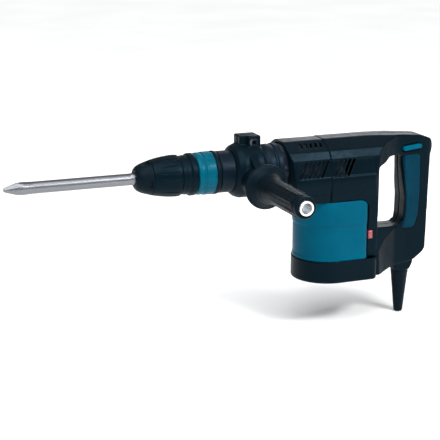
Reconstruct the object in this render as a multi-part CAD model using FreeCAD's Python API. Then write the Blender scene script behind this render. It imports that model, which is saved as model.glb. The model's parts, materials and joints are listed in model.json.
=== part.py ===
"""Electric demolition hammer (jackhammer) with a bull-point chisel, a side grip and a D-shaped rear handle.

Millimetres. The hammer axis lies along X, with the chisel towards -X and the rear handle towards +X.
The side grip points to -Y and +Z is up. The origin is the centre of the flat underside of the motor
cover, below the upright motor shaft. Every function returns the solids of one sub-part.
"""
import FreeCAD
import Part
import math
import os

V = FreeCAD.Vector

# ---------------------------------------------------------------- driving dimensions
AXIS_Z = 174.0                 # height of the hammer axis
WALL = 3.2                     # plastic wall
RUN = 0.05                     # radial clearance of a running fit

TIP_X = -488.8                 # chisel point
NOSE_X = -301.7                # front of the rubber cap
SHAFT_R = 8.5                  # chisel shaft
SHANK_R = 9.0                  # chisel shank, 18 mm
SHANK_END_X = -212.0
CAP_END_X = -278.5             # rubber cap meets the release cover
COVER_END_X = -237.5           # rear of the release cover
SEAM_GAP = 0.4                 # between parts that slide apart
GUIDE_X = (-236.5, -213.5)     # black guide ring behind the release cover
RING_X = (-213.0, -186.5)      # change ring
BUMPER_X = (-186.0, -179.0)    # rubber bumper ring
BARREL_X = (-178.5, -84.0)
BARREL_R = 30.4
SNOUT_R = 34.5
LINER_R = (21.0, 25.0)

CLAMP_X = (-157.0, -113.3)     # side grip clamp on the barrel
CLAMP_R = 40.0
GRIP_X = -132.0                # side grip axis
GRIP_Z = AXIS_Z - 9.0
FLANGE_Y = -80.0
GRIP_END_Y = -213.0

FRONT_X = -80.0                # front of the crank cover
SEAM_X = -15.0                 # crank cover meets the handle shells
REAR_X = 63.0                  # rear wall of the body
RIDGE_W = 51.0                 # half width at the lower ridge
TOP_Z = 213.4

MOTOR_R = 50.0                 # motor housing
BASE_R = 52.0                  # bottom cover
TEAL_Z = (33.6, 124.0)
TEAL_REAR_X = 47.5
STEP_Z = 88.0                  # the housing is a little fuller above this line

HANDLE_W = 17.0                # half width of the rear handle

CRANK_X = -30.0                # crankshaft axis
CRANK_R = 14.0                 # crank throw: half the piston stroke
PINION_TEETH = 10
GEAR_TEETH = 50
MODULE = 1.0
ROD_LENGTH = 52.0


# ---------------------------------------------------------------- helpers
def rounded_wire(points, place):
    """Closed wire through (a, b, radius) corners, each rounded by an arc; place maps (a, b) to a point."""
    flat = [V(a, b, 0) for a, b, _ in points]
    count = len(points)
    corners = []
    for i, (_, _, radius) in enumerate(points):
        here = flat[i]
        back = (flat[i - 1] - here).normalize()
        ahead = (flat[(i + 1) % count] - here).normalize()
        if radius <= 0:
            corners.append((here, None, here))
            continue
        half = back.getAngle(ahead) / 2
        reach = radius / math.tan(half)
        middle = (back + ahead).normalize()
        top = here + middle * (radius / math.sin(half) - radius)
        corners.append((here + back * reach, top, here + ahead * reach))
    edges = []
    for i, (start, top, end) in enumerate(corners):
        if top is not None:
            edges.append(Part.Arc(place(start), place(top), place(end)).toShape())
        following = corners[(i + 1) % count][0]
        if (following - end).Length > 1e-6:
            edges.append(Part.LineSegment(place(end), place(following)).toShape())
    return Part.Wire(edges)


def slab(points, plane, low, high):
    """Solid with a rounded outline in plane xy, xz or yz, from low to high along the third axis."""
    place = {
        "xy": lambda p: V(p.x, p.y, low),
        "xz": lambda p: V(p.x, low, p.y),
        "yz": lambda p: V(low, p.x, p.y),
    }[plane]
    way = {"xy": V(0, 0, high - low), "xz": V(0, high - low, 0), "yz": V(high - low, 0, 0)}[plane]
    return Part.Face(rounded_wire(points, place)).extrude(way)


def inset(points, depth):
    """The same outline moved inwards by depth, or outwards if depth is negative."""
    count = len(points)
    area = sum(points[i - 1][0] * points[i][1] - points[i][0] * points[i - 1][1] for i in range(count))
    side = 1 if area > 0 else -1
    lines = []
    for i in range(count):
        a, b = points[i][:2], points[(i + 1) % count][:2]
        length = math.hypot(b[0] - a[0], b[1] - a[1])
        ux, uy = (b[0] - a[0]) / length, (b[1] - a[1]) / length
        lines.append((a[0] - uy * depth * side, a[1] + ux * depth * side, ux, uy))
    moved = []
    for i in range(count):
        x1, y1, ux1, uy1 = lines[i - 1]
        x2, y2, ux2, uy2 = lines[i]
        cross = ux1 * uy2 - uy1 * ux2
        along = ((x2 - x1) * uy2 - (y2 - y1) * ux2) / cross
        radius = points[i][2]
        if radius > 0:
            radius = max(radius - depth * (1 if cross * side > 0 else -1), 0.4)
        moved.append((x1 + ux1 * along, y1 + uy1 * along, radius))
    return moved


def mirrored(half):
    """Full outline from its right half, listed from the top down."""
    return half + [(-a, b, r) for a, b, r in reversed(half)]


def turned(profile):
    """Solid of revolution about the hammer axis from (x, radius) points."""
    wire = Part.makePolygon([V(x, 0, AXIS_Z + r) for x, r in profile + profile[:1]])
    return Part.Face(wire).revolve(V(0, 0, AXIS_Z), V(1, 0, 0), 360)


def turned_curve(outer, inner):
    """Like turned, with the outer points joined by one smooth curve."""
    curve = Part.BSplineCurve()
    curve.interpolate([V(x, 0, AXIS_Z + r) for x, r in outer])
    ends = [outer[-1]] + inner + [outer[0]]
    rest = [
        Part.LineSegment(V(a[0], 0, AXIS_Z + a[1]), V(b[0], 0, AXIS_Z + b[1])).toShape()
        for a, b in zip(ends, ends[1:])
    ]
    face = Part.Face(Part.Wire([curve.toShape()] + rest))
    return face.revolve(V(0, 0, AXIS_Z), V(1, 0, 0), 360)


def about_axis(shape, degrees):
    """Copy of shape turned about the hammer axis."""
    copy = shape.copy()
    copy.rotate(V(0, 0, AXIS_Z), V(1, 0, 0), degrees)
    return copy


def upright(x, y, r_out, low, high, r_in=0.0):
    """Upright cylinder or tube."""
    body = Part.makeCylinder(r_out, high - low, V(x, y, low))
    return body.cut(Part.makeCylinder(r_in, high - low, V(x, y, low))) if r_in else body


def rod(start, way, radius, length):
    return Part.makeCylinder(radius, length, V(*start), V(*way))


def block(low, high):
    return Part.makeBox(high[0] - low[0], high[1] - low[1], high[2] - low[2], V(*low))


def fuse(shapes):
    first, rest = shapes[0], shapes[1:]
    return first.fuse(rest).removeSplitter() if rest else first


def cut(shape, tools):
    for tool in tools:
        shape = shape.cut(tool)
    return shape


def common(shapes):
    result = shapes[0]
    for shape in shapes[1:]:
        result = result.common(shape)
    return result


def rounded_where(shape, radius, wanted):
    """shape with every edge that wanted(edge) accepts rounded."""
    edges = [e for e in shape.Edges if wanted(e)]
    return shape.makeFillet(radius, edges)


def hexagon(centre, way, across_flats, length):
    """Hexagonal prism along way."""
    points = []
    for i in range(6):
        angle = math.radians(60 * i + 30)
        points.append(V(math.cos(angle), math.sin(angle), 0) * (across_flats / math.sqrt(3)))
    face = Part.Face(Part.makePolygon(points + points[:1]))
    prism = face.extrude(V(0, 0, length))
    prism.Placement = FreeCAD.Placement(V(*centre), FreeCAD.Rotation(V(0, 0, 1), V(*way)))
    return prism


def socket_screw(head_at, way, thread_r, length):
    """Cap screw: way points from the head's top towards the thread."""
    way = V(*way)
    start = V(*head_at)
    head_r, head_h = thread_r * 1.65, thread_r * 1.7
    head = Part.makeCylinder(head_r, head_h, start, way)
    shank = Part.makeCylinder(thread_r, length, start + way * head_h, way)
    key = hexagon(tuple(start), tuple(way), thread_r * 1.6, head_h * 0.6)
    return head.fuse(shank).cut(key)


def ball_bearing(x, y, low, high, r_in, r_out, balls=8):
    """Deep-groove bearing: two rings and their balls as separate solids."""
    middle_r = (r_in + r_out) / 2
    ball_r = min((r_out - r_in) * 0.28, (high - low) * 0.38)
    gap = ball_r * 0.75
    inner = upright(x, y, middle_r - gap, low, high, r_in)
    outer = upright(x, y, r_out, low, high, middle_r + gap)
    groove = Part.makeTorus(middle_r, ball_r + RUN, V(x, y, (low + high) / 2))
    parts = [inner.cut(groove), outer.cut(groove)]
    for i in range(balls):
        angle = 2 * math.pi * i / balls
        centre = V(x + middle_r * math.cos(angle), y + middle_r * math.sin(angle), (low + high) / 2)
        parts.append(Part.makeSphere(ball_r, centre))
    return parts


def involute_gear(x, y, teeth, low, high, bore, turn, backlash=0.16):
    """Spur gear with stub involute teeth and a 25 degree pressure angle."""
    pitch_r = MODULE * teeth / 2
    base_r = pitch_r * math.cos(math.radians(25))
    tip_r = pitch_r + 0.8 * MODULE
    root_r = pitch_r - 1.0 * MODULE

    def spread(r):
        roll = math.sqrt(max((r / base_r) ** 2 - 1, 0))
        return roll - math.atan(roll)

    half_tooth = math.pi / (2 * teeth) - backlash / (2 * pitch_r) + spread(pitch_r)
    radii = [max(root_r, base_r) + (tip_r - max(root_r, base_r)) * i / 3 for i in range(4)]
    points = []
    for k in range(teeth):
        middle = 2 * math.pi * k / teeth + turn
        flank = [(r, half_tooth - spread(r)) for r in radii]
        rising = [(root_r, flank[0][1])] + flank if root_r < base_r else flank
        for r, angle in rising:
            points.append(V(x + r * math.cos(middle - angle), y + r * math.sin(middle - angle), low))
        for r, angle in reversed(rising):
            points.append(V(x + r * math.cos(middle + angle), y + r * math.sin(middle + angle), low))
    gear = Part.Face(Part.makePolygon(points + points[:1])).extrude(V(0, 0, high - low))
    return gear.cut(upright(x, y, bore, low, high)) if bore else gear


# ---------------------------------------------------------------- chisel and tool holder
LOCK_X = (-268.0, -254.0)      # locking bars
CHISEL_TRAVEL = 18.0
KEY_X = (-245.0, -223.0)
KEY_ANGLES = (0, 150, 210)     # drive keys, about the axis from +Y


def chisel():
    point_start = TIP_X + 26
    shaft = turned([
        (TIP_X, 0), (TIP_X, 2.2), (TIP_X + 2, 3.6), (point_start - 8, 8.4), (point_start, SHAFT_R + 0.7),
        (point_start + 14, SHAFT_R), (NOSE_X - 6, SHAFT_R), (NOSE_X - 3, SHANK_R),
        (SHANK_END_X - 1.5, SHANK_R), (SHANK_END_X, SHANK_R - 1.5), (SHANK_END_X, 0),
    ])
    facets = []
    for k in range(4):
        facet = block((TIP_X - 1, -20, AXIS_Z), (point_start + 20, 20, AXIS_Z + 20))
        facet.rotate(V(TIP_X, 0, AXIS_Z), V(0, 1, 0), -16.5)
        facet.translate(V(0, 0, 2.1))
        facets.append(about_axis(facet, 90 * k + 38))
    grooves = [
        block((LOCK_X[0] - 0.5, -4.0, AXIS_Z + s * 6.8 - (0 if s > 0 else 4)),
              (LOCK_X[1] + CHISEL_TRAVEL + 0.5, 4.0, AXIS_Z + s * 6.8 + (4 if s > 0 else 0)))
        for s in (1, -1)
    ]
    slot = block((KEY_X[0] - 2, 6.9, AXIS_Z - 2.5), (SHANK_END_X + 1, 12, AXIS_Z + 2.5))
    slots = [about_axis(slot, angle) for angle in KEY_ANGLES]
    return cut(shaft, facets + grooves + slots)


def tool_holder():
    body = turned([
        (-296, SHANK_R + RUN), (-296, 15), (-295, 16), (-222, 16), (-222, LINER_R[0] - RUN),
        (-164, LINER_R[0] - RUN), (-164, 12.5), (-211, 12.5), (-211, SHANK_R + RUN),
    ])
    windows = [
        block((LOCK_X[0] - 0.3, -3.8, AXIS_Z + (5 if s > 0 else -17)),
              (LOCK_X[1] + 0.3, 3.8, AXIS_Z + (17 if s > 0 else -5)))
        for s in (1, -1)
    ]
    key = block((KEY_X[0], 7.3, AXIS_Z - 2.2), (KEY_X[1], SHANK_R + 1, AXIS_Z + 2.2))
    return fuse([cut(body, windows)] + [about_axis(key, angle) for angle in KEY_ANGLES])


def locking_bars():
    return [rod((LOCK_X[0], 0, AXIS_Z + s * 10.5), (1, 0, 0), 3.5, LOCK_X[1] - LOCK_X[0]) for s in (1, -1)]


def bullet(points_from, points_to):
    """Stretch of the bullet-shaped nose outline between two stations."""
    outline = [
        (NOSE_X, 13.4), (-298.5, 17.4), (-292.7, 20.6), (-284, 23.4), (CAP_END_X - SEAM_GAP, 25.0),
        (CAP_END_X, 25.1), (-270, 27.0), (-262, 28.4), (-252, 29.6), (-244, 30.1), (COVER_END_X, 29.7),
    ]
    return [p for p in outline if points_from <= p[0] <= points_to]


def front_cap():
    cap = turned_curve(bullet(NOSE_X, CAP_END_X - SEAM_GAP), [
        (CAP_END_X - SEAM_GAP, 16), (-296, 16), (-296, 11), (-299, SHANK_R + 0.4), (NOSE_X, SHANK_R + 0.4),
    ])
    notch = block((-291, 20.6, AXIS_Z - 5.5), (CAP_END_X - 2.5, 30, AXIS_Z + 5.5))
    return cut(cap, [about_axis(notch, angle) for angle in (192, 282, 12, 102)])


COVER_RIBS = 18


def release_cover():
    cover = turned_curve(bullet(CAP_END_X, COVER_END_X), [
        (COVER_END_X, 28.3), (-246, 28.3), (-250, 25.2), (-268, 22.0), (CAP_END_X, 21.5),
    ])
    cover = cover.fuse(turned([(-263, 19.2), (-263, 25), (-257, 25), (-257, 19.2)]))
    groove = block((-270, 29.2, AXIS_Z - 0.7), (COVER_END_X - 3.5, 34, AXIS_Z + 0.7))
    groove.rotate(V(-245, 29.2, AXIS_Z), V(0, 0, 1), 5)
    return cut(cover, [about_axis(groove, 360 / COVER_RIBS * k) for k in range(COVER_RIBS)])


def lock_collar():
    return turned([(-271, 16.05), (-271, 19.15), (-249, 19.15), (-249, 16.05)])


def coil(wire_r, mean_r, turns, length):
    """Helical spring along +Z from the origin, drawn from eight-sided wire."""
    helix = Part.makeHelix(length / turns, length, mean_r)
    points = []
    for k in range(8):
        angle = math.pi / 4 * k
        points.append(V(mean_r + wire_r * math.cos(angle), 0, wire_r * math.sin(angle)))
    section = Part.makePolygon(points + points[:1])
    return Part.Wire(helix).makePipeShell([section], True, True)


def cover_spring():
    wire_r = 1.0
    start, end = -248.8 + wire_r, -222.2 - wire_r
    spring = coil(wire_r, 18.2, 5, end - start)
    spring.rotate(V(0, 0, 0), V(0, 1, 0), 90)
    spring.translate(V(start, 0, AXIS_Z))
    return spring


def guide_ring():
    front, rear = GUIDE_X
    return turned([
        (front, 22), (front, 27.2), (front + 0.8, 27.9), (front + 6, 27.9), (front + 6.6, 28.4),
        (front + 12.6, 28.4), (front + 13.4, 29.6), (front + 15, 30.7), (rear - 2, 30.8), (rear, 29.6),
        (rear, 26), (-220, 26), (-220, 22),
    ])


def change_ring():
    front, rear = RING_X
    step = -202.5
    ring = turned([
        (front, 26.3), (front, 28.2), (front + 1.2, 29.8), (front + 4, 30.6), (step - 2.2, 30.6),
        (step - 0.9, 29.6), (step + 0.6, 29.6), (step + 1.6, 31.2), (rear, 31.2), (rear, 26.3),
    ])
    pocket = block((step + 4.5, -3.2, AXIS_Z + 30.5), (rear + 1, 3.2, AXIS_Z + 34))
    pocket = rounded_where(pocket, 1.5, lambda e: abs(e.CenterOfMass.x - step - 4.5) < 0.1 and e.Length < 4)
    return cut(ring, [about_axis(pocket, 30 * k) for k in range(12)])


def bumper_ring():
    front, rear = BUMPER_X
    return turned([
        (front, 26), (front, 30.6), (front + 1, 31.5), (front + 3.4, 31.7), (rear - 1, 31.2),
        (rear, 30.2), (rear, 26),
    ])


def impact_bolt():
    return turned([
        (-211.6, 0), (-211.6, 7.6), (-210.4, 8.6), (-197, 8.6), (-195, 12.45), (-175, 12.45), (-173, 9.5),
        (-164, 9.5), (-163, 8.5), (-163, 0),
    ])


# ---------------------------------------------------------------- barrel and striking mechanism
STRIKER_X = (-157.0, -131.0)
PISTON_X = (-82.0, -50.0)      # at the rear end of its stroke
WRIST_X = -68.0
PISTON_STROKE = 2 * CRANK_R


def barrel():
    front, rear = BARREL_X
    body = turned([
        (-220, LINER_R[0]), (-220, 25.2), (-219, 26), (front, 26), (front, 29.4), (front + 1, BARREL_R),
        (-112, BARREL_R), (-110, 31.6), (-106, 34), (-103, 35.2), (-96, 35.4), (-95, 34.2), (-92, 34.2),
        (-91, 35.8), (rear, 36), (rear, LINER_R[1]), (-162, LINER_R[1]), (-162, LINER_R[0]),
    ])
    return body


def cylinder_liner():
    vents = [rod((-123, 0, AXIS_Z), (0, math.cos(a), math.sin(a)), 2.0, 40) for a in (0.5, 2.1, 3.7, 5.3)]
    return cut(turned([(-162, LINER_R[0]), (-162, LINER_R[1]), (-58, LINER_R[1]), (-58, LINER_R[0])]), vents)


def striker():
    front, rear = STRIKER_X
    r = LINER_R[0] - RUN
    return turned([
        (front, 0), (front, 9), (front + 5, 11), (front + 7, r), (front + 12, r), (front + 12, r - 2),
        (front + 15, r - 2), (front + 15, r), (rear, r), (rear, 0),
    ])


def striker_o_ring():
    return Part.makeTorus(LINER_R[0] - 1.0 - RUN, 1.0, V(STRIKER_X[0] + 13.5, 0, AXIS_Z), V(1, 0, 0))


def piston():
    front, rear = PISTON_X
    r = LINER_R[0] - RUN
    body = turned([
        (front, 0), (front, r), (front + 4, r), (front + 4, r - 2), (front + 7, r - 2), (front + 7, r),
        (rear, r), (rear, 15.5), (front + 4.5, 15.5), (front + 4.5, 0),
    ])
    return body.cut(rod((WRIST_X, 0, AXIS_Z - 30), (0, 0, 1), 4.5, 60))


def piston_o_ring():
    return Part.makeTorus(LINER_R[0] - 1.0 - RUN, 1.0, V(PISTON_X[0] + 5.5, 0, AXIS_Z), V(1, 0, 0))


def wrist_pin():
    return upright(WRIST_X, 0, 4.5, AXIS_Z - 19, AXIS_Z + 19)


def connecting_rod():
    low, high = AXIS_Z - 7.5, AXIS_Z + 7.5
    big_x = WRIST_X + ROD_LENGTH
    web = slab([(WRIST_X, -5, 0), (big_x, -6, 0), (big_x, 6, 0), (WRIST_X, 5, 0)], "xy", low + 3, high - 3)
    body = fuse([web, upright(WRIST_X, 0, 8.5, low, high), upright(big_x, 0, 11.5, low, high)])
    return cut(body, [upright(WRIST_X, 0, 4.5 + RUN, low, high), upright(big_x, 0, 8.5, low, high)])


def rod_bearing():
    low, high = AXIS_Z - 7.5, AXIS_Z + 7.5
    return upright(WRIST_X + ROD_LENGTH, 0, 8.45, low, high, 3.0)


def crankshaft():
    shaft = upright(CRANK_X, 0, 7.0, 119, 155)
    web = upright(CRANK_X, 0, 19.0, 154.5, 163)
    relief = upright(CRANK_X - 16, 0, 6, 154, 164)
    pin = upright(CRANK_X + CRANK_R, 0, 5.0, 162, AXIS_Z - 7.9)
    return fuse([shaft, web.cut(relief), pin])


def crank_gear():
    gear = involute_gear(CRANK_X, 0, GEAR_TEETH, 134, 143, 7.0, 0.0)
    holes = [
        upright(CRANK_X + 15 * math.cos(a), 15 * math.sin(a), 4, 130, 146)
        for a in [math.radians(60 * k + 30) for k in range(6)]
    ]
    return cut(gear, holes)


def crank_housing():
    """Metal casting that holds the crank, the bearings and the barrel."""
    shell = slab(mirrored([(28, 201.5, 3), (34, 197.5, 3), (34, 131, 6)]), "yz", -66, 14)
    shell = shell.cut(slab([(-57, 131, 0), (-66, 141.5, 0), (-70, 141.5, 0), (-70, 130, 0), (-57, 130, 0)], "xz", -40, 40))
    snout = turned([(BARREL_X[1], 0), (BARREL_X[1], SNOUT_R), (-60, SNOUT_R), (-60, 0)])
    shell = fuse([shell, snout, upright(CRANK_X, 0, 16.4, 118, 132), upright(0, 0, 19, 115, 132)])
    hollow = slab(mirrored([(30, 240, 0), (30, 133, 4)]), "yz", -57, 10)
    bores = [
        turned([(-100, 0), (-100, LINER_R[1]), (-40, LINER_R[1]), (-40, 0)]),
        upright(CRANK_X, 0, 14, 119.5, 134), upright(CRANK_X, 0, 8, 117, 120),
        upright(0, 0, 14, 114, 127.5), upright(0, 0, 8, 127, 134),
    ]
    return cut(shell, [hollow] + bores)


LID_SCREWS = [(-52, -22), (-52, 22), (4, -22), (4, 22)]


def crank_lid():
    holes = [upright(x, y, 2.0, 194, 200) for x, y in LID_SCREWS]
    return cut(block((-57, -30, 195), (10, 30, 199)), holes)


def lid_screws():
    return [socket_screw((x, y, 202.4), (0, 0, -1), 2.0, 4) for x, y in LID_SCREWS]


def bearing_plate():
    plate = block((-57, -30, 145), (10, 30, 152.5))
    return plate.cut(upright(CRANK_X, 0, 16, 144, 153))


# ---------------------------------------------------------------- motor
def armature_shaft():
    shaft = fuse([upright(0, 0, 5, 8, 134), upright(0, 0, 7, 96, 116)])
    return fuse([shaft, involute_gear(0, 0, PINION_TEETH, 133, 144, 0, math.pi + math.pi / PINION_TEETH)])


def armature_core():
    core = upright(0, 0, 22, 46, 96, 5)
    slot = block((17.5, -0.9, 45), (23, 0.9, 97)).fuse(upright(17, 0, 2.0, 45, 97))
    slots = []
    for k in range(12):
        copy = slot.copy()
        copy.rotate(V(0, 0, 0), V(0, 0, 1), 30 * k)
        slots.append(copy)
    return cut(core, slots)


def armature_windings():
    parts = []
    for low, high, narrow in ((96.1, 102, 1), (40.5, 45.9, 0)):
        ring = Part.makeCone(20 if narrow else 16, 16 if narrow else 20, high - low, V(0, 0, low))
        parts.append(ring.cut(upright(0, 0, 7.05 if narrow else 5.05, low, high)))
    return parts


def commutator():
    body = upright(0, 0, 13, 23, 40, 5)
    slots = []
    for k in range(24):
        slot = block((11, -0.25, 22), (14, 0.25, 41))
        slot.rotate(V(0, 0, 0), V(0, 0, 1), 15 * k)
        slots.append(slot)
    return cut(body, slots)


def cooling_fan():
    hub = upright(0, 0, 12, 103.5, 113, 7)
    plate = upright(0, 0, 36, 103.5, 105.5, 7)
    blades = []
    for k in range(14):
        blade = block((12, -0.9, 105), (35.5, 0.9, 113))
        blade.rotate(V(12, 0, 0), V(0, 0, 1), 22)
        blade.rotate(V(0, 0, 0), V(0, 0, 1), 360 / 14 * k)
        blades.append(blade.common(upright(0, 0, 36, 100, 116)))
    return fuse([plate, hub] + blades)


def stator_core():
    ring = upright(0, 0, 40, 46, 96, 30)
    shoes = [
        upright(0, 0, 31, 46, 96, 22.7).common(block((-17, s * 26 - 14, 40), (17, s * 26 + 14, 100)))
        for s in (1, -1)
    ]
    return fuse([ring] + shoes)


def field_coils():
    coils = []
    for low, high in ((96.1, 102.5), (38.5, 45.9)):
        ring = upright(0, 0, 37, low, high, 26)
        for s in (1, -1):
            coils.append(ring.common(block((-30, min(s * 8, s * 45), low - 1), (30, max(s * 8, s * 45), high + 1))))
    return coils


def brush_holders():
    return [
        block((-5.5, s * 14 if s > 0 else -38, 26), (5.5, 38 if s > 0 else s * 14, 37)).cut(
            block((-3.5, s * 10 if s > 0 else -36, 28), (3.5, 36 if s > 0 else s * 10, 35)))
        for s in (1, -1)
    ]


def carbon_brushes():
    return [
        block((-3.4, 13.1 if s > 0 else -28, 28.1), (3.4, 28 if s > 0 else -13.1, 34.9)).cut(
            upright(0, 0, 13.05, 20, 40)) for s in (1, -1)
    ]


def brush_springs():
    springs = []
    for s in (1, -1):
        spring = coil(0.3, 2.0, 3, 7.0)
        spring.rotate(V(0, 0, 0), V(1, 0, 0), -90 * s)
        spring.translate(V(0, s * 28.4, 31.5))
        springs.append(spring)
    return springs


def bearings():
    return (ball_bearing(0, 0, 116, 127, 5, 14) + ball_bearing(0, 0, 8, 17, 5, 13)
            + ball_bearing(CRANK_X, 0, 120, 130, 7, 14) + ball_bearing(CRANK_X, 0, 145, 152.5, 7, 16, 10))


BASE_SCREWS = [(s * 28.4, t * 31.5) for s in (-1, 1) for t in (-1, 1)]


def motor_frame():
    """Inner plastic baffle: air guide below the fan, stator seat, brush plate and lower bearing seat."""
    guide = upright(0, 0, MOTOR_R - WALL, 99, 102.4, 41).fuse(upright(0, 0, 41.5, 46, 102.4, 40))
    plate = upright(0, 0, MOTOR_R - WALL, 22, 25.8, 15)
    posts = [upright(44 * math.cos(a), 44 * math.sin(a), 2.6, 24, 101) for a in (0.9, 2.24, 4.04, 5.38)]
    seat = upright(0, 0, 16, WALL, 23, 13)
    bosses = [upright(x, y, 4.2, WALL, 23, 1.9) for x, y in BASE_SCREWS]
    frame = fuse([guide, plate, seat] + posts + bosses)
    return frame.common(block((-60, -60, 0), (TEAL_REAR_X - WALL - 0.1, 60, 120)))


# ---------------------------------------------------------------- housings
SECTION = [(14, TOP_Z, 10), (39, 200.5, 4), (45.5, 189, 5), (RIDGE_W, 157, 4), (RIDGE_W, 151, 5)]
REAR_STEP = 0.7                # the handle shells stand this far outside the crank cover
GAP = [
    (REAR_X, 70.5, 9), (117, 70, 8), (124, 82, 16), (125, 112, 60), (121.5, 140, 60), (119.5, 163, 30),
    (117.5, 181.6, 7), (92, 180.5, 9), (82, 173.5, 8), (REAR_X + 0.5, 171, 5),
]
SIDE = [
    (SEAM_X, TOP_Z + REAR_STEP, 0), (60, TOP_Z + REAR_STEP, 80), (110, 211.8, 60), (150, 208.5, 25),
    (168, 201.5, 9), (174.3, 189.5, 5), (167.8, 177, 8), (165.8, 125, 60), (163.5, 30, 5), (157.5, 22.8, 4),
    (144, 13.2, 4), (99, 6, 20), (80, 2.2, 8), (REAR_X + 1, 2.2, 0), (REAR_X + 1, 34, 0),
    (TEAL_REAR_X + 0.2, 34, 0), (TEAL_REAR_X + 0.2, 124.2, 15), (SEAM_X, 124.2, 0),
]
PLAN = [
    (SEAM_X, 56, 0), (46, 56, 15), (REAR_X, 48.5, 14), (84, 31, 25), (108, 18.5, 18), (128, HANDLE_W, 20),
    (174.5, HANDLE_W, 14),
]


def plan_outline():
    return PLAN + [(x, -y, r) for x, y, r in reversed(PLAN)]


def crease(side, first_x, last_x, z, half_width):
    """Thin moulded line along a side wall."""
    low, high = sorted((side * half_width, side * 60))
    return block((first_x, low, z), (last_x, high, z + 1.3))


def side_recess(side, first_x, last_x):
    """Shallow step in the side wall, between the two ridges, that the louvres sit in."""
    across = [(side * 49.2, 162.5, 0.8), (side * 60, 162.5, 0), (side * 60, 187.5, 0), (side * 44.9, 187.5, 0.8)]
    return slab(across, "yz", first_x, last_x)


def vent_slots(first_x, count, pitch, low, high, depth, side):
    """Row of slanted louvre slots through a side wall."""
    slots = []
    lean = (high - low) * 0.5
    for k in range(count):
        x = first_x + pitch * k
        outline = [(x, low, 1.2), (x + 3.8, low, 1.2), (x + 3.8 + lean, high, 1.2), (x + lean, high, 1.2)]
        edge = (side * 60, side * (60 - depth))
        slots.append(slab(outline, "xz", min(edge), max(edge)))
    return slots


def crank_cover():
    section = mirrored(SECTION + [(47.5, 124, 2)])
    inner = mirrored(inset(section, WALL)[:len(section) // 2])
    body = slab(section, "yz", FRONT_X, SEAM_X)
    keep = slab([(FRONT_X, 218, 0), (SEAM_X, 218, 0), (SEAM_X, 123, 0), (-48, 123, 6),
                 (-66, 133, 14), (FRONT_X + 2, 156, 14)], "xz", -70, 70)
    nose = slab([(FRONT_X - 1, -37, 8), (-66, -60, 10), (SEAM_X, -60, 0), (SEAM_X, 60, 0), (-66, 60, 10),
                 (FRONT_X - 1, 37, 8)], "xy", 100, 240)
    core = slab(inner, "yz", FRONT_X + 4, SEAM_X + 1)
    core = common([core, slab([(FRONT_X + 7, 240, 0), (SEAM_X + 1, 240, 0), (SEAM_X + 1, 120, 0), (-48, 125.2, 0),
                               (-64.5, 134.3, 10), (FRONT_X + 6, 158, 10)], "xz", -70, 70),
                   slab([(FRONT_X + 4, -34, 6), (-64, -57, 8), (SEAM_X + 1, -57, 0), (SEAM_X + 1, 57, 0),
                         (-64, 57, 8), (FRONT_X + 4, 34, 6)], "xy", 100, 240)])
    shell = common([body, keep, nose]).cut(core)
    openings = [turned([(FRONT_X - 5, 0), (FRONT_X - 5, 36.4), (FRONT_X + 4.5, 36.4), (FRONT_X + 4.5, 0)]),
                turned([(FRONT_X, 0), (FRONT_X, SNOUT_R), (-60, SNOUT_R), (-60, 0)]),
                upright(0, 0, MOTOR_R - WALL, 118, 128.5)]
    for side in (1, -1):
        openings += vent_slots(FRONT_X + 12.5, 6, 7.0, 163.5, 187, 20, side)
        openings.append(side_recess(side, FRONT_X + 12, SEAM_X))
        openings.append(crease(side, -66, SEAM_X, 139, 48.6))
        openings.append(crease(side, -60, SEAM_X, 131, 47.2))
    for k in range(5):
        x = -58 + 8 * k
        slot = slab([(x, 204, 1.2), (x + 3.4, 204, 1.2), (x + 7.4, 212, 1.2), (x + 4, 212, 1.2)], "xz", -45, 45)
        openings.append(slot.cut(block((-90, -19, 190), (20, 19, 230))))
    return cut(shell, openings)


def grip_section(grow):
    """Upright bar whose rounded front follows the finger side of the grip."""
    front, wide = 119.5 - grow, HANDLE_W + 1 + grow
    outline = [(front, -wide, 14 + grow), (front, wide, 14 + grow), (150, 24 + grow, 0), (150, -24 - grow, 0)]
    return slab(outline, "xy", 40, 200)


def grip_rounding():
    """Corners to take off the finger side of the grip."""
    return block((100, -30, 74), (134, 30, 178)).cut(grip_section(0.0))


def arm_bevel(side):
    """Wedge off the upper outer edge of the lower arm, from the grip down to the motor cover."""
    across = [(side * 13, 75, 0), (side * 60, 75, 0), (side * 60, 42, 0), (side * 44, 42, 0)]
    return slab(across, "yz", REAR_X + 1, 119)


def arm_lining(side):
    """The bevel moved inwards by one wall."""
    across = [(side * 5, 79, 0), (side * 60, 79, 0), (side * 60, 38, 0), (side * 42, 38, 0)]
    return slab(across, "yz", REAR_X - 3, 122)


def front_lining():
    """The grip rounding moved inwards by one wall."""
    return block((100, -30, 70), (130, 30, 182)).cut(grip_section(-WALL))


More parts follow.
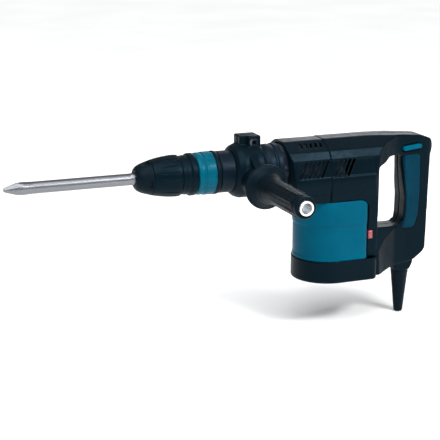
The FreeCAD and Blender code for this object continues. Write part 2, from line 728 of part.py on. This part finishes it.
def handle_shell(side):
    """Left (-1) or right (1) half of the rear body, the D-handle and the lower arm."""
    wide = [(a + REAR_STEP, b, r) for a, b, r in SECTION]
    wide[0] = (14 + REAR_STEP, TOP_Z + REAR_STEP, 9)
    section = mirrored(wide + [(49.5, 124, 30), (46, 60, 30), (40, -5, 0)])
    outer = common([
        slab(SIDE, "xz", -60, 60), slab(section, "yz", SEAM_X, 180), slab(plan_outline(), "xy", -10, 230),
    ])
    outer = cut(outer, [slab(GAP, "xz", -70, 70), grip_rounding(), arm_bevel(1), arm_bevel(-1)])
    side_in = inset(SIDE, WALL)
    side_in[0] = (SEAM_X - 5, side_in[0][1], 0)
    side_in[-1] = (SEAM_X - 5, side_in[-1][1], 0)
    plan_in = inset(plan_outline(), WALL)
    plan_in[0] = (SEAM_X - 5, plan_in[0][1], 0)
    plan_in[-1] = (SEAM_X - 5, plan_in[-1][1], 0)
    inner = common([
        slab(side_in, "xz", -60, 60), slab(mirrored(inset(section, WALL)[:len(section) // 2]), "yz", SEAM_X - 5, 180),
        slab(plan_in, "xy", -10, 230),
    ])
    inner = cut(inner, [slab(inset(GAP, -WALL), "xz", -70, 70), arm_lining(1), arm_lining(-1), front_lining()])
    bosses = [rod((x, -y - 2.5, z), (0, 1, 0), 5.5, 2 * y + 5) for x, z, y in SHELL_SCREWS]
    collar = slab([(111, 14, 0), (113, -3, 2), (139, -3, 2), (144, 8, 2), (144, 16, 0)], "xz", -14, 14)
    shell = fuse([outer.cut(inner), collar] + bosses)
    half = block((-40, 0 if side > 0 else -70, -20), (200, 70 if side > 0 else 0, 230))
    tools = [pad_outline(0.0, 5, 30, side).cut(pad_seat()), lever_outline(0.45, -40, 40), upright(0, 0, MOTOR_R - WALL, 118, 128.5)]
    tools += vent_slots(SEAM_X + 4, 4, 7.0, 163.5, 187, 20, side)
    tools.append(side_recess(side, SEAM_X, 58))
    tools.append(crease(side, SEAM_X, 56, 141, 49.2))
    tools.append(crease(side, SEAM_X, 50, 132, 48.2))
    tools += [rod((x, 60, z), (0, -1, 0), 1.8, 60 + y) for x, z, y in SHELL_SCREWS]
    tools.append(upright(CORD_X, 0, 8.6, -4, 17))
    if side > 0:
        tools += [rod((x, 60, z), (0, -1, 0), 3.6, 63 - y) for x, z, y in SHELL_SCREWS]
        tools.append(rod((DIAL_X, 60, DIAL_Z), (0, -1, 0), DIAL_R + 0.4, 25))
    if side < 0:
        tools.append(block((LAMP_X - 4.5, -60, 63.2), (LAMP_X + 3.6, -40, 76.2)))
    return cut(shell.common(half), tools)


def shell_in_one_piece(side):
    """The half shell without stray slivers, as its largest solid."""
    return max(handle_shell(side).Solids, key=lambda s: s.Volume)


SHELL_SCREWS = [(156, 198, 12.5), (150, 56, 12.5), (104, 28, 16)]
DIAL_X, DIAL_Z, DIAL_R = 36.0, 176.0, 10.0
LAMP_X = 51.5
CORD_X = 128.5


def shell_screws():
    screws = []
    for x, z, y in SHELL_SCREWS:
        head = rod((x, y, z), (0, -1, 0), 3.6, 3.0).cut(hexagon((x, y + 0.5, z), (0, -1, 0), 3.2, 2.2))
        screws.append(head.fuse(rod((x, y - 2.9, z), (0, -1, 0), 1.8, 2 * y - 3)))
    return screws


def pad_outline(margin, low, high, side):
    outline = inset([
        (120.5, 179, 3), (149, 179, 5), (150, 120, 60), (148, 84, 12), (142, 65, 7), (121, 65, 3),
        (127, 84, 14), (127.8, 112, 40), (124.3, 140, 40), (121.8, 163, 30),
    ], margin)
    edge = (side * low, side * high)
    return slab(outline, "xz", min(edge), max(edge))


def pad_seat():
    """What stays of the grip under the two pads."""
    return grip_section(-1.4).common(block((90, -15.6, 74), (160, 15.6, 200))).fuse(block((90, -15.6, 40), (160, 15.6, 74)))


def grip_pads():
    skin = grip_section(0.4).fuse(block((90, -25, 40), (150, 25, 74))).cut(pad_seat())
    return [pad_outline(0.1, 5, 17.4, side).common(skin) for side in (1, -1)]


def lever_outline(margin, low, high):
    outline = [(118, 185.7, 3.2), (118, 192.4, 3.2), (149.3, 195.7, 3.2), (149.3, 189, 3.2)]
    return slab(inset(outline, -margin), "xz", low, high)


def switch_lever():
    return lever_outline(0.0, -21.5, 14.5)


def switch_body():
    body = block((127, -10, 155), (152, 10, 183.5))
    plunger = block((132, -3.5, 183), (140, 3.5, 185))
    return body.fuse(plunger)


def control_unit():
    tray = block((69, -11, 12), (97, 11, 58))
    fins = [block((71 + 5 * k, -12, 14), (73 + 5 * k, 12, 56)) for k in range(5)]
    return fuse([tray] + fins)


def speed_dial():
    knob = rod((DIAL_X, 45.6, DIAL_Z), (0, 1, 0), DIAL_R, 5.6)
    stem = rod((DIAL_X, 36, DIAL_Z), (0, 1, 0), 3.0, 10)
    grip = []
    for k in range(20):
        notch = rod((DIAL_X + DIAL_R + 0.4, 45, DIAL_Z), (0, 1, 0), 0.9, 8)
        notch.rotate(V(DIAL_X, 0, DIAL_Z), V(0, 1, 0), 18 * k)
        grip.append(notch)
    pointer = block((DIAL_X - 0.8, 50.2, DIAL_Z + 2), (DIAL_X + 0.8, 52, DIAL_Z + 8))
    return cut(knob.fuse(stem), grip + [pointer])


def dial_board():
    return block((DIAL_X - 13, 33, DIAL_Z - 13), (DIAL_X + 13, 35.6, DIAL_Z + 13))


def service_lamp():
    lens = block((LAMP_X - 3.5, -48.0, 63.3), (LAMP_X + 3.5, -41, 76.1))
    return rounded_where(lens, 1.2, lambda e: abs(e.CenterOfMass.y + 48.0) < 0.01)


def motor_plan(radius, low, high, rear):
    """Round at the front, straight sides to a flat rear."""
    corner = 9.0
    front = upright(0, 0, radius, low, high).common(block((-radius - 1, -radius - 1, low), (1, radius + 1, high)))
    rest = slab([(0, -radius, 0), (rear, -radius, corner), (rear, radius, corner), (0, radius, 0)], "xy", low, high)
    return front.fuse(rest).removeSplitter()


def motor_housing():
    low, high = TEAL_Z
    body = motor_plan(MOTOR_R, low, high, TEAL_REAR_X)
    body = body.fuse(motor_plan(MOTOR_R + 1.0, STEP_Z, high, TEAL_REAR_X))
    body = body.fuse(motor_plan(MOTOR_R + 0.9, low, low + 5, TEAL_REAR_X))
    inner = motor_plan(MOTOR_R - WALL, low - 1, high + 1, TEAL_REAR_X - WALL)
    shape = body.cut(inner).removeSplitter()
    top = slab([(-60, low - 1, 0), (TEAL_REAR_X, low - 1, 0), (TEAL_REAR_X, high, 15), (-60, high, 0)], "xz", -70, 70)
    return shape.common(top)


def bottom_cover():
    high = TEAL_Z[0]
    outer = motor_plan(BASE_R, 0, high, REAR_X + 0.8)
    outer = rounded_where(outer, 3.0, lambda e: e.BoundBox.ZMax < 0.01)
    inner = motor_plan(MOTOR_R - WALL + 1.5, WALL, high + 1, REAR_X - WALL)
    vents = [
        block((-14 + 7 * k, min(s * 20, s * 40), -1), (-10.5 + 7 * k, max(s * 20, s * 40), WALL + 1))
        for k in range(5) for s in (1, -1)
    ]
    groove = motor_plan(BASE_R + 1, 28.2, 29.2, REAR_X + 3).cut(motor_plan(BASE_R - 0.6, 28.2, 29.2, REAR_X))
    return cut(outer.cut(inner), vents + [groove] + [upright(x, y, 3.6, -1, WALL + 1) for x, y in BASE_SCREWS])


def base_screws():
    screws = []
    for x, y in BASE_SCREWS:
        screw = upright(x, y, 3.6, 0.6, WALL).fuse(upright(x, y, 1.9, WALL - 0.1, 16))
        screws.append(screw.cut(hexagon((x, y, 0.5), (0, 0, 1), 3.0, 1.8)))
    return screws


def cord_guard():
    """Tapered rubber sleeve below the collar of the lower arm."""
    profile = [(16, 8.5), (16, 5), (-71.4, 4.6), (-71.4, 6.8), (-11, 12.9), (-8, 13.5), (-3, 13.5), (-3, 8.5)]
    wire = Part.makePolygon([V(CORD_X + r, 0, z) for z, r in profile + profile[:1]])
    return Part.Face(wire).revolve(V(CORD_X, 0, 0), V(0, 0, 1), 360)


# ---------------------------------------------------------------- side grip
def about_grip(profile):
    """Solid of revolution about the side grip axis from (distance along -Y, radius) points."""
    wire = Part.makePolygon([V(GRIP_X + r, -t, GRIP_Z) for t, r in profile + profile[:1]])
    return Part.Face(wire).revolve(V(GRIP_X, 0, GRIP_Z), V(0, 1, 0), 360)


LUG_BOLT = (-124.5, AXIS_Z + 42.5)


def grip_clamp():
    front, rear = CLAMP_X
    bore = BARREL_R + RUN
    ring = turned([
        (front, bore), (front, 33), (front + 4, 37), (front + 10, CLAMP_R - 0.5), (front + 12, CLAMP_R),
        (rear - 3, CLAMP_R), (rear, 38.5), (rear, bore),
    ])
    top = AXIS_Z + 52
    lug = slab([(-144.5, AXIS_Z + 25, 0), (-144.5, top, 2), (-113.5, top, 2), (-113.5, AXIS_Z + 25, 0)], "xz", -14, 14)
    lug = lug.cut(block((-150, -20, AXIS_Z + 34), (-133, -9.5, top + 1)))
    lug = lug.fuse(rod((LUG_BOLT[0], -16.5, LUG_BOLT[1]), (0, 1, 0), 9.0, 5))
    boss = about_grip([(0, 0), (0, 21), (52, 21), (70, 17), (73.5, 17), (73.5, 0)])
    web = slab([(-152, -66, 4), (-114, -66, 4), (-114, -20, 0), (-150, -20, 0)], "xy", GRIP_Z - 5, GRIP_Z + 7)
    gusset = slab([(-20, AXIS_Z + 33, 0), (-66, GRIP_Z + 14, 12), (-66, GRIP_Z - 14, 12), (-20, AXIS_Z - 36, 0)],
                  "yz", -138, -126)
    body = fuse([ring, lug, boss, web, gusset])
    gaps = [
        turned([(-170, 0), (-170, bore), (rear, bore), (rear, 38.5), (-100, 38.5), (-100, 0)]),
        block((-170, -1.2, AXIS_Z + 20), (-100, 1.2, AXIS_Z + 60)),
        about_grip([(40, 0), (40, 10.25), (80, 10.25), (80, 0)]),
        rod((LUG_BOLT[0], -20, LUG_BOLT[1]), (0, 1, 0), 4.1, 40),
        rod((LUG_BOLT[0], -20, LUG_BOLT[1]), (0, 1, 0), 6.7, 10.5),
        hexagon((LUG_BOLT[0], 9, LUG_BOLT[1]), (0, 1, 0), 13.2, 8),
    ]
    return cut(body, gaps)


def clamp_bolt():
    x, z = LUG_BOLT
    head = rod((x, -16, z), (0, 1, 0), 6.5, 6.5)
    return head.fuse(rod((x, -10, z), (0, 1, 0), 4.0, 25)).cut(hexagon((x, -16.5, z), (0, 1, 0), 6.0, 5))


def clamp_nut():
    x, z = LUG_BOLT
    return hexagon((x, 9, z), (0, 1, 0), 13.0, 6).cut(rod((x, 0, z), (0, 1, 0), 4.0, 30))


def grip_tube():
    return about_grip([(40, 0), (40, 10.25), (213.4, 10.25), (214, 9.7), (214, 7.6), (213.4, 7.2), (184, 7.2), (184, 0)])


def grip_sleeve():
    sleeve = about_grip([
        (74, 10.25), (74, 26), (75.5, 31), (78, 32.2), (81, 32.2), (84.5, 28), (92, 22.5), (104, 18.6),
        (118, 17.2), (196, 15.8), (199, 15.6), (200, 14.6), (202.5, 14.6), (203.5, 15.8), (209, 15.6),
        (210.5, 14.4), (210.5, 10.25),
    ])
    ribs = []
    for k in range(8):
        rib = block((GRIP_X - 1.6, -194, GRIP_Z + 13), (GRIP_X + 1.6, -112, GRIP_Z + 17.4))
        rib.rotate(V(GRIP_X, 0, GRIP_Z), V(0, 1, 0), 45 * k + 22.5)
        ribs.append(rib)
    return fuse([sleeve] + ribs)


# ---------------------------------------------------------------- export
NODES = {
    "chisel": chisel,
    "tool_holder": tool_holder,
    "locking_bars": locking_bars,
    "front_cap": front_cap,
    "release_cover": release_cover,
    "lock_collar": lock_collar,
    "cover_spring": cover_spring,
    "guide_ring": guide_ring,
    "change_ring": change_ring,
    "bumper_ring": bumper_ring,
    "impact_bolt": impact_bolt,
    "barrel": barrel,
    "cylinder_liner": cylinder_liner,
    "striker": striker,
    "striker_o_ring": striker_o_ring,
    "piston": piston,
    "piston_o_ring": piston_o_ring,
    "wrist_pin": wrist_pin,
    "connecting_rod": connecting_rod,
    "rod_bearing": rod_bearing,
    "crankshaft": crankshaft,
    "crank_gear": crank_gear,
    "crank_housing": crank_housing,
    "crank_lid": crank_lid,
    "lid_screws": lid_screws,
    "bearing_plate": bearing_plate,
    "bearings": bearings,
    "armature_shaft": armature_shaft,
    "armature_core": armature_core,
    "armature_windings": armature_windings,
    "commutator": commutator,
    "cooling_fan": cooling_fan,
    "stator_core": stator_core,
    "field_coils": field_coils,
    "brush_holders": brush_holders,
    "carbon_brushes": carbon_brushes,
    "brush_springs": brush_springs,
    "motor_frame": motor_frame,
    "motor_housing": motor_housing,
    "bottom_cover": bottom_cover,
    "base_screws": base_screws,
    "crank_cover": crank_cover,
    "handle_shell_left": lambda: shell_in_one_piece(-1),
    "handle_shell_right": lambda: shell_in_one_piece(1),
    "shell_screws": shell_screws,
    "grip_pads": grip_pads,
    "switch_lever": switch_lever,
    "switch_body": switch_body,
    "control_unit": control_unit,
    "speed_dial": speed_dial,
    "dial_board": dial_board,
    "service_lamp": service_lamp,
    "cord_guard": cord_guard,
    "grip_clamp": grip_clamp,
    "clamp_bolt": clamp_bolt,
    "clamp_nut": clamp_nut,
    "grip_tube": grip_tube,
    "grip_sleeve": grip_sleeve,
}

os.makedirs("parts", exist_ok=True)
for name, build in NODES.items():
    made = build()
    shape = Part.makeCompound(made) if isinstance(made, list) else made
    solids = shape.Solids
    print(name, "solids", len(solids), "valid", shape.isValid(), "volume", round(shape.Volume, 1))
    shape.exportStep("parts/" + name + ".step")
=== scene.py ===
import bpy
import json
import math
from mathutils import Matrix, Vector


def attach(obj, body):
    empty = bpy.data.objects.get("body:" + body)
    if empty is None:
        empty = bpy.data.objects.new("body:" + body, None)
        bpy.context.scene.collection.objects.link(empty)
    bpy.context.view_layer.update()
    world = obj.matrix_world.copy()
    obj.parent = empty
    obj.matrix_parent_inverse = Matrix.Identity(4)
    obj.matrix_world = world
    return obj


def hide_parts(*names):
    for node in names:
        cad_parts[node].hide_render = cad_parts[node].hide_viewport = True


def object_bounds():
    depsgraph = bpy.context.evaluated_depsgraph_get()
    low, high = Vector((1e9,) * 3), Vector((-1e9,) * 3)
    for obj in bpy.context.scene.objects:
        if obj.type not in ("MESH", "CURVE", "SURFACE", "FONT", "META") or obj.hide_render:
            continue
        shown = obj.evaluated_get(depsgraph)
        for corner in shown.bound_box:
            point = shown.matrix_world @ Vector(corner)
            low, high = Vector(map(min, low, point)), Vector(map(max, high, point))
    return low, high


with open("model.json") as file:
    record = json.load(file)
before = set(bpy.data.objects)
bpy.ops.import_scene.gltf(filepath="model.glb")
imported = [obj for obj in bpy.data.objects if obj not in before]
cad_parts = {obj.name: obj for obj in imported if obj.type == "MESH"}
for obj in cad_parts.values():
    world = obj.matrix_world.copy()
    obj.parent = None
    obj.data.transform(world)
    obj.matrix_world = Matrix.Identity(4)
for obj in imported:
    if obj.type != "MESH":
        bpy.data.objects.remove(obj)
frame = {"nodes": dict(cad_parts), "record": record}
cad_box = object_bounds()

# ---------------------------------------------------------------- driving values, metres (lens in mm)
VIEW_TARGET = Vector((-0.1711, 0.0, 0.1017))
VIEW_AZIMUTH = math.radians(-21.5)
VIEW_ELEVATION = math.radians(14.6)
VIEW_DISTANCE = 2.0
VIEW_LENS = 112.1
SENSOR_WIDTH = 36
GRIP_FROM_X = 0.085
GRIP_FADE = 0.02
FLOOR_GAP = 0.002
FLOOR_REACH = 9
HAMMER_MIDDLE = (-0.1, 0, 0.12)
COOL_GLINT = (0.5, 0.75, 1.0)
PLASTIC_GRAIN = 1900
METAL_STREAKS = 1500

BODIES = frame["record"]["behaviour"]["bodies"]
BODY_OF = {node: body for body, nodes in BODIES.items() for node in nodes}
SLOT_OF = {part["node"]: part["material_slot"] for part in frame["record"]["subparts"]}


# ---------------------------------------------------------------- node helpers
class Tree:
    """Short names for building one procedural material."""

    def __init__(self, name):
        self.material = bpy.data.materials.new(name)
        self.material.use_nodes = True
        self.nodes = self.material.node_tree.nodes
        self.links = self.material.node_tree.links
        self.shader = self.nodes["Principled BSDF"]
        self.place = self.nodes.new("ShaderNodeTexCoord").outputs["Object"]

    def link(self, source, target):
        self.links.new(source, target)

    def mapping(self, scale):
        node = self.nodes.new("ShaderNodeMapping")
        node.inputs["Scale"].default_value = scale
        self.link(self.place, node.inputs["Vector"])
        return node.outputs["Vector"]

    def noise(self, scale, detail=4.0, rough=0.55, stretch=(1, 1, 1)):
        node = self.nodes.new("ShaderNodeTexNoise")
        node.inputs["Scale"].default_value = scale
        node.inputs["Detail"].default_value = detail
        node.inputs["Roughness"].default_value = rough
        self.link(self.mapping(stretch), node.inputs["Vector"])
        return node.outputs["Fac"]

    def cells(self, scale):
        node = self.nodes.new("ShaderNodeTexVoronoi")
        node.inputs["Scale"].default_value = scale
        self.link(self.place, node.inputs["Vector"])
        return node.outputs["Distance"]

    def remap(self, value, low, high, to_low, to_high):
        node = self.nodes.new("ShaderNodeMapRange")
        node.inputs["From Min"].default_value = low
        node.inputs["From Max"].default_value = high
        node.inputs["To Min"].default_value = to_low
        node.inputs["To Max"].default_value = to_high
        self.link(value, node.inputs["Value"])
        return node.outputs["Result"]

    def maths(self, how, a, b):
        node = self.nodes.new("ShaderNodeMath")
        node.operation = how
        for socket, value in zip(node.inputs, (a, b)):
            if isinstance(value, (int, float)):
                socket.default_value = value
            else:
                self.link(value, socket)
        return node.outputs["Value"]

    def mix(self, fac, a, b):
        node = self.nodes.new("ShaderNodeMix")
        node.data_type = "RGBA"
        self.link(fac, node.inputs["Factor"])
        for socket, value in ((node.inputs[6], a), (node.inputs[7], b)):
            if isinstance(value, tuple):
                socket.default_value = (*value, 1)
            else:
                self.link(value, socket)
        return node.outputs[2]

    def edges(self, low=0.53, high=0.62):
        """1 on sharp outward edges, broken up so that wear looks uneven."""
        geometry = self.nodes.new("ShaderNodeNewGeometry")
        sharp = self.remap(geometry.outputs["Pointiness"], low, high, 0.0, 1.0)
        return self.maths("MULTIPLY", sharp, self.remap(self.noise(160, 6), 0.42, 0.62, 0.0, 1.0))

    def bump(self, height, strength, distance, after=None):
        node = self.nodes.new("ShaderNodeBump")
        node.inputs["Strength"].default_value = strength
        node.inputs["Distance"].default_value = distance
        self.link(height, node.inputs["Height"])
        if after:
            self.link(after, node.inputs["Normal"])
        return node.outputs["Normal"]

    def finish(self, colour, rough, normal=None):
        self.link(colour, self.shader.inputs["Base Color"])
        self.link(rough, self.shader.inputs["Roughness"])
        if normal:
            self.link(normal, self.shader.inputs["Normal"])
        return self.material


def scaled(colour, factor, lift=0.0):
    return tuple(min(channel * factor + lift, 1) for channel in colour)


def gloss(tree, level, tint):
    """A low, tinted reflection, so that dark surfaces stay dark under the white studio."""
    tree.shader.inputs["Specular IOR Level"].default_value = level
    tree.shader.inputs["Specular Tint"].default_value = (*tint, 1)


def moulded(name, base, worn, rough, shine, dust, glint, coat=0.0):
    """Glass-filled plastic: fine spark-eroded grain, scuffs, patches of dust and paler edges."""
    t = Tree(name)
    broad = t.remap(t.noise(14, 3), 0.35, 0.65, 0.0, 1.0)
    tint = t.mix(broad, scaled(base, 0.86), scaled(base, 1.12))
    patches = t.remap(t.noise(60, 8, 0.7), 0.60, 0.86, 0.0, 0.16)
    dusty = t.mix(patches, tint, dust)
    colour = t.mix(t.maths("MULTIPLY", t.edges(), 0.55), dusty, worn)
    scuff = t.remap(t.noise(230, 5, 0.6, (1, 0.25, 1)), 0.5, 0.8, -0.03, 0.13)
    roughness = t.maths("ADD", t.remap(broad, 0, 1, rough - 0.04, rough + 0.05), scuff)
    fine = t.bump(t.cells(PLASTIC_GRAIN), 0.35, 0.00006)
    flow = t.bump(t.noise(26, 2), 0.10, 0.0012, fine)
    gloss(t, shine, glint)
    t.shader.inputs["Coat Weight"].default_value = coat
    t.shader.inputs["Coat Roughness"].default_value = 0.25
    return t.finish(colour, roughness, flow)


def rubbery(name, base, worn, rough, shine, pattern=900):
    """Soft rubber: matt pebbled skin with faint bloom and rubbed edges."""
    t = Tree(name)
    bloom = t.remap(t.noise(22, 6, 0.65), 0.4, 0.75, 0.0, 1.0)
    skin = t.mix(bloom, scaled(base, 0.85), scaled(base, 1.25, 0.001))
    colour = t.mix(t.maths("MULTIPLY", t.edges(0.52, 0.60), 0.6), skin, worn)
    roughness = t.remap(t.noise(120, 5), 0.3, 0.7, rough - 0.08, rough + 0.10)
    pebbles = t.bump(t.cells(pattern), 0.45, 0.00012)
    normal = t.bump(t.noise(2600, 2), 0.25, 0.00004, pebbles)
    gloss(t, shine, COOL_GLINT)
    return t.finish(colour, roughness, normal)


def steel(name, base, rough, stretch=(0.03, 1, 1), second=(0.20, 0.21, 0.24)):
    """Bare metal: streaks along one axis, patches of a second tint and small pits."""
    t = Tree(name)
    streaks = t.noise(METAL_STREAKS, 3, 0.5, stretch)
    cloud = t.remap(t.noise(32, 5), 0.35, 0.7, 0.0, 1.0)
    tint = t.mix(t.maths("MULTIPLY", cloud, 0.35), base, second)
    pits = t.remap(t.noise(900, 2), 0.66, 0.74, 0.0, 0.45)
    colour = t.mix(pits, tint, scaled(base, 0.35))
    roughness = t.remap(streaks, 0.3, 0.7, rough - 0.08, rough + 0.12)
    normal = t.bump(streaks, 0.16, 0.00005)
    t.shader.inputs["Metallic"].default_value = 1.0
    return t.finish(colour, roughness, normal)


def painted(name, base, worn, rough):
    """Stove enamel on a casting: slight orange peel, chips on the edges."""
    t = Tree(name)
    broad = t.remap(t.noise(18, 4), 0.35, 0.65, 0.0, 1.0)
    tint = t.mix(broad, scaled(base, 0.85), scaled(base, 1.15))
    colour = t.mix(t.maths("MULTIPLY", t.edges(0.54, 0.6), 0.8), tint, worn)
    roughness = t.remap(t.noise(150, 6), 0.3, 0.7, rough - 0.06, rough + 0.10)
    peel = t.bump(t.noise(520, 2), 0.22, 0.0001)
    gloss(t, 0.12, (0.5, 0.78, 1.0))
    return t.finish(colour, roughness, peel)


def lens(name, base):
    """Red lamp cover: mottled colour under a glossy coat."""
    t = Tree(name)
    glow = t.remap(t.noise(300, 3), 0.35, 0.65, 0.0, 1.0)
    colour = t.mix(glow, base, scaled(base, 1.7, 0.02))
    roughness = t.remap(t.noise(200, 3), 0.3, 0.7, 0.08, 0.2)
    t.shader.inputs["Coat Weight"].default_value = 0.6
    return t.finish(colour, roughness)


MATERIALS = {
    "steel": steel("ground_steel", (0.19, 0.197, 0.212), 0.33),
    # painted shade: the castings under the covers get near-black paint so that what shows through the
    # louvres and the gap round the snout reads as the shade inside the housing
    "cast_metal": painted("casting_darkened_as_painted_shade", (0.006, 0.010, 0.016), (0.05, 0.055, 0.06), 0.5),
    "black_metal": painted("dark_enamel", (0.0018, 0.0055, 0.0105), (0.020, 0.030, 0.042), 0.42),
    "black_steel": painted("blackened_steel", (0.0030, 0.0050, 0.0080), (0.10, 0.11, 0.13), 0.40),
    "copper": steel("copper_wire", (0.75, 0.36, 0.20), 0.35, (1, 1, 0.05), (0.55, 0.2, 0.1)),
    "black_plastic": moulded(
        "dark_nylon", (0.0006, 0.0036, 0.0064), (0.012, 0.024, 0.036), 0.40,
        shine=0.09, dust=(0.004, 0.010, 0.016), glint=(0.40, 0.75, 1.0),
    ),
    "teal_plastic": moulded(
        "teal_nylon", (0.0, 0.068, 0.118), (0.004, 0.17, 0.25), 0.36,
        shine=0.06, dust=(0.0, 0.11, 0.17), glint=(0.3, 0.9, 1.0),
    ),
    "teal_rubber": rubbery(
        "teal_soft_grip", (0.0, 0.024, 0.044), (0.002, 0.085, 0.13), 0.5, shine=0.07, pattern=1300,
    ),
    "ring_plastic": moulded(
        "bright_teal_nylon", (0.0, 0.070, 0.112), (0.01, 0.22, 0.29), 0.32,
        shine=0.10, dust=(0.002, 0.12, 0.18), glint=(0.3, 0.9, 1.0), coat=0.02,
    ),
    "rubber": rubbery("black_rubber", (0.0010, 0.0042, 0.0070), (0.012, 0.020, 0.028), 0.46, shine=0.09),
    "zinc_tube": steel("zinc_plate", (0.90, 0.92, 0.94), 0.34, (1, 0.03, 1), (0.76, 0.80, 0.86)),
    "red_lens": lens("red_lens", (0.16, 0.004, 0.010)),
}


# ---------------------------------------------------------------- carried-over and moulded pieces
def dress(node):
    """Give a carried-over CAD node its procedural material."""
    piece = frame["nodes"][node]
    piece.data.materials.clear()
    piece.data.materials.append(MATERIALS[SLOT_OF[node]])


def settled(piece):
    """Replace the piece's mesh by the result of its modifiers."""
    graph = bpy.context.evaluated_depsgraph_get()
    mesh = bpy.data.meshes.new_from_object(piece.evaluated_get(graph))
    piece.modifiers.clear()
    piece.data = mesh


def smoothing(piece, rounds, group=""):
    smooth = piece.modifiers.new("Smooth", "SMOOTH")
    smooth.factor = 0.5
    smooth.iterations = rounds
    smooth.vertex_group = group


def grip_rounding(piece, rounds):
    """Fuller radii on the rear handle, whose edges a hand closes round."""
    group = piece.vertex_groups.new(name="grip")
    for vertex in piece.data.vertices:
        away = (vertex.co.x - GRIP_FROM_X) / GRIP_FADE
        if away > 0:
            group.add([vertex.index], min(away, 1.0), "REPLACE")
    smoothing(piece, rounds, "grip")
    settled(piece)


def moulding(node, voxel, rounds, grip_rounds=0):
    """A copy of the node's surface with the small moulded radii that its sharp CAD edges lack."""
    piece = bpy.data.objects.new(node + "_moulding", frame["nodes"][node].data.copy())
    bpy.context.scene.collection.objects.link(piece)
    remesh = piece.modifiers.new("Remesh", "REMESH")
    remesh.mode = "VOXEL"
    remesh.voxel_size = voxel
    smoothing(piece, rounds)
    settled(piece)
    if grip_rounds:
        grip_rounding(piece, grip_rounds)
    piece.data.materials.clear()
    piece.data.materials.append(MATERIALS[SLOT_OF[node]])
    piece.data.shade_smooth()
    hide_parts(node)
    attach(piece, BODY_OF[node])


# voxel size, rounds of smoothing and, on the handle, further rounds for the grip
MOULDINGS = {
    "crank_cover": (0.0009, 4),
    "handle_shell_left": (0.0010, 4, 14),
    "handle_shell_right": (0.0010, 4, 14),
    "bottom_cover": (0.0010, 4),
    "motor_housing": (0.0010, 4),
    "grip_clamp": (0.0008, 5),
    "grip_sleeve": (0.0008, 4),
    "front_cap": (0.0006, 4),
    "release_cover": (0.0005, 2),
    "guide_ring": (0.0006, 2),
    "change_ring": (0.0006, 2),
    "bumper_ring": (0.0006, 2),
    "barrel": (0.0007, 2),
    "cord_guard": (0.0006, 2),
    "grip_pads": (0.0007, 4),
    "switch_lever": (0.0006, 4),
    "speed_dial": (0.0004, 2),
    "service_lamp": (0.0004, 3),
}

for node in BODY_OF:
    if node in MOULDINGS:
        moulding(node, *MOULDINGS[node])
    else:
        dress(node)


# ---------------------------------------------------------------- floor, light and camera
def floor():
    low = cad_box[0][2] - FLOOR_GAP
    signs = [(-1, -1), (1, -1), (1, 1), (-1, 1)]
    corners = [(x * FLOOR_REACH, y * FLOOR_REACH, low) for x, y in signs]
    mesh = bpy.data.meshes.new("floor")
    mesh.from_pydata(corners, [], [(0, 1, 2, 3)])
    plane = bpy.data.objects.new("floor", mesh)
    bpy.context.scene.collection.objects.link(plane)
    t = Tree("pale_floor")
    cloud = t.remap(t.noise(3, 2), 0.3, 0.7, 0.0, 1.0)
    colour = t.mix(cloud, (0.93, 0.93, 0.93), (0.97, 0.97, 0.97))
    roughness = t.remap(cloud, 0, 1, 0.75, 0.85)
    plane.data.materials.append(t.finish(colour, roughness, t.bump(cloud, 0.02, 0.001)))


def aim(thing, place, target):
    thing.location = place
    thing.rotation_euler = (Vector(target) - Vector(place)).to_track_quat("-Z", "Y").to_euler()


def lamp(name, place, target, size, power):
    data = bpy.data.lights.new(name, "AREA")
    data.shape = "RECTANGLE"
    data.size, data.size_y = size
    data.energy = power
    thing = bpy.data.objects.new(name, data)
    bpy.context.scene.collection.objects.link(thing)
    aim(thing, place, target)


def studio():
    world = bpy.data.worlds.new("studio")
    world.use_nodes = True
    backdrop = world.node_tree.nodes["Background"]
    backdrop.inputs["Color"].default_value = (0.97, 0.985, 1.0, 1)
    backdrop.inputs["Strength"].default_value = 0.36
    bpy.context.scene.world = world
    bpy.context.scene.view_settings.view_transform = "Standard"
    data = bpy.data.lights.new("ceiling", "SUN")
    data.energy = 2.3
    data.angle = math.radians(50)
    ceiling = bpy.data.objects.new("ceiling", data)
    bpy.context.scene.collection.objects.link(ceiling)
    aim(ceiling, (-0.4, -0.7, 2.2), (0, 0, 0))
    lamp("key", (-1.0, -1.1, 1.5), HAMMER_MIDDLE, (0.9, 0.9), 15)
    lamp("band", (0.68, -1.35, 1.46), (-0.03, 0, 0.19), (0.8, 0.35), 34)
    lamp("rim", (0.9, 1.3, 0.8), HAMMER_MIDDLE, (0.8, 0.8), 5)


def camera():
    back = Vector((
        math.sin(VIEW_AZIMUTH) * math.cos(VIEW_ELEVATION),
        -math.cos(VIEW_AZIMUTH) * math.cos(VIEW_ELEVATION),
        math.sin(VIEW_ELEVATION),
    ))
    data = bpy.data.cameras.new("view")
    data.lens = VIEW_LENS
    data.sensor_width = SENSOR_WIDTH
    thing = bpy.data.objects.new("view", data)
    bpy.context.scene.collection.objects.link(thing)
    aim(thing, VIEW_TARGET + back * VIEW_DISTANCE, VIEW_TARGET)
    bpy.context.scene.camera = thing


floor()
studio()
camera()
